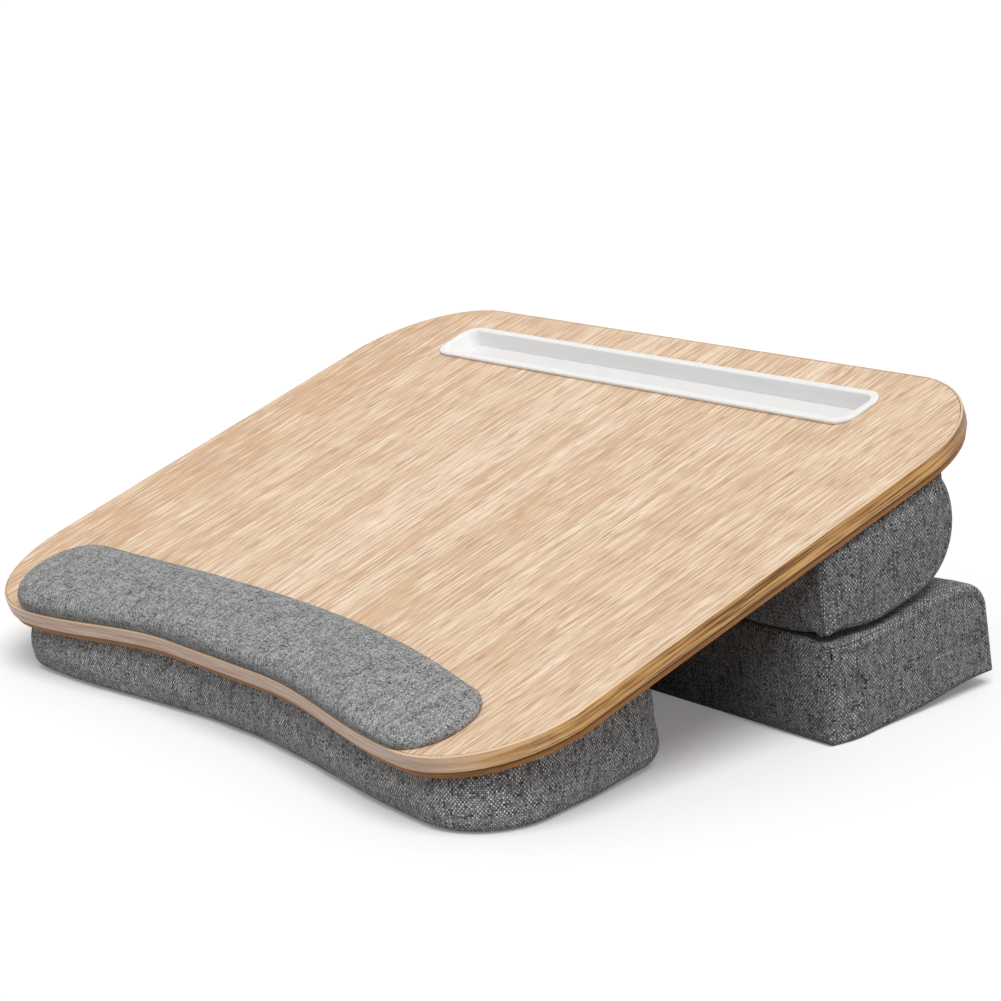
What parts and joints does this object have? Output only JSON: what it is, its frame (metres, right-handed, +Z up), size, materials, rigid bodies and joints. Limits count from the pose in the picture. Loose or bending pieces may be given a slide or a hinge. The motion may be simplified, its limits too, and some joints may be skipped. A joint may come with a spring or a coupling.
{
  "type": "cushioned lap desk",
  "caption": "wedge lap desk with a wood laminate top, a padded wrist rest, a recessed tablet slot and foam cushions in grey fabric covers underneath",
  "frame": {"origin": "on the surface it stands on, under the middle of the bounding box", "axes": "+X to the user's right along the front edge, +Y away from the user, +Z up"},
  "size_m": [0.45, 0.3151, 0.137],
  "materials": {
    "oak_top": "satin light oak laminate, fine straight grain from front to back",
    "oak_edge": "satin brown oak edge strip, grain along its length",
    "base_board": "matt reddish brown thin fibreboard",
    "white_plastic": "smooth white moulded plastic",
    "light_linen": "light heather grey linen-look weave",
    "grey_linen": "heather grey linen-look weave with light and dark slub yarns",
    "foam": "soft open-cell upholstery foam",
    "black_webbing": "matt black woven tape"
  },
  "bodies": {
    "root": {"board_panel": "oak_top", "edge_band": "oak_edge", "base_panel": "base_board", "slot_tray": "white_plastic", "wrist_rest_cover": "light_linen", "wrist_rest_foam": "foam", "front_cushion_cover": "grey_linen", "front_cushion_foam": "foam", "upper_cushion_cover": "grey_linen", "upper_cushion_foam": "foam", "lower_cushion_cover": "grey_linen", "lower_cushion_foam": "foam", "lower_cushion_bottom": "grey_linen", "fold_tape": "black_webbing"}
  },
  "joints": []
}
